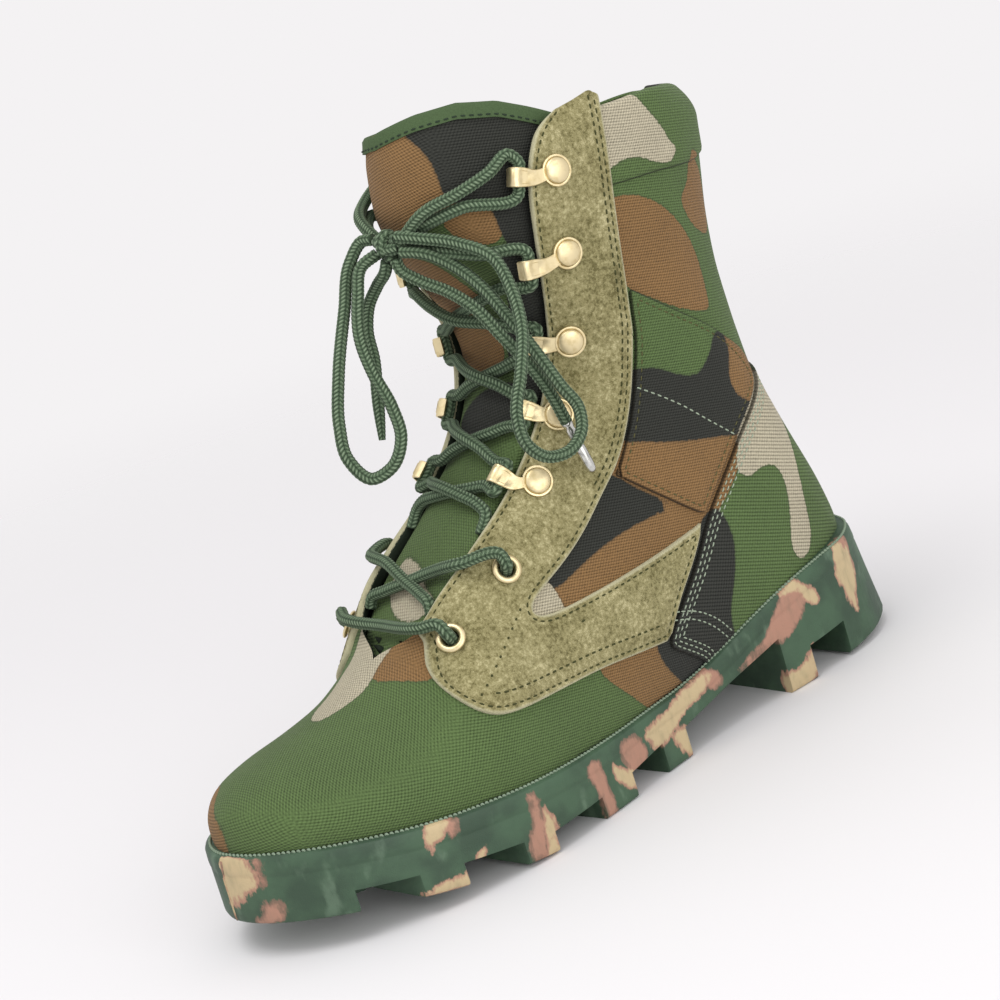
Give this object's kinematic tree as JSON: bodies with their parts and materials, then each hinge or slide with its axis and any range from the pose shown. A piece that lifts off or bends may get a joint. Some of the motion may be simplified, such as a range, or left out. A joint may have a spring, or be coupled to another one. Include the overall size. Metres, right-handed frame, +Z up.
{
  "type": "military boot",
  "caption": "Left lace-up military boot in woodland camouflage canvas with suede facings, speed hooks and a lugged rubber sole",
  "frame": {"origin": "middle of the boot's bounding box on the floor under the sole", "axes": "+X heel to toe, +Y towards the wearer's left, the outer side of this left boot, +Z up"},
  "size_m": [0.3019, 0.105, 0.2405],
  "materials": {
    "brass_hardware": "satin",
    "camouflage_canvas": "woodland camouflage twill, matte",
    "insole_foam": "matte foam",
    "lace_cord": "braided, matte",
    "lace_tip": "satin",
    "rubber_sole": "matte moulded, marbled in green, tan and brown",
    "suede": "suede, matte"
  },
  "bodies": {
    "root": {"aglet_lateral": "lace_tip", "ankle_band_lateral": "camouflage_canvas", "ankle_band_medial": "camouflage_canvas", "collar_cuff": "camouflage_canvas", "eyelet_lateral_1": "brass_hardware", "eyelet_lateral_2": "brass_hardware", "eyelet_medial_1": "brass_hardware", "eyelet_medial_2": "brass_hardware", "eyestay_lateral": "suede", "eyestay_medial": "suede", "heel_counter": "camouflage_canvas", "hook_lateral_1": "brass_hardware", "hook_lateral_2": "brass_hardware", "hook_lateral_3": "brass_hardware", "hook_lateral_4": "brass_hardware", "hook_lateral_5": "brass_hardware", "hook_medial_1": "brass_hardware", "hook_medial_2": "brass_hardware", "hook_medial_3": "brass_hardware", "hook_medial_4": "brass_hardware", "hook_medial_5": "brass_hardware", "insole": "insole_foam", "lace_bar": "lace_cord", "lace_crossing_low": "lace_cord", "lace_crossings": "lace_cord", "lace_end_lateral": "lace_cord", "lace_end_medial": "lace_cord", "lace_knot": "lace_cord", "lace_loop_lateral": "lace_cord", "lace_loop_medial": "lace_cord", "outsole": "rubber_sole", "tongue": "camouflage_canvas", "upper": "camouflage_canvas"}
  },
  "joints": []
}
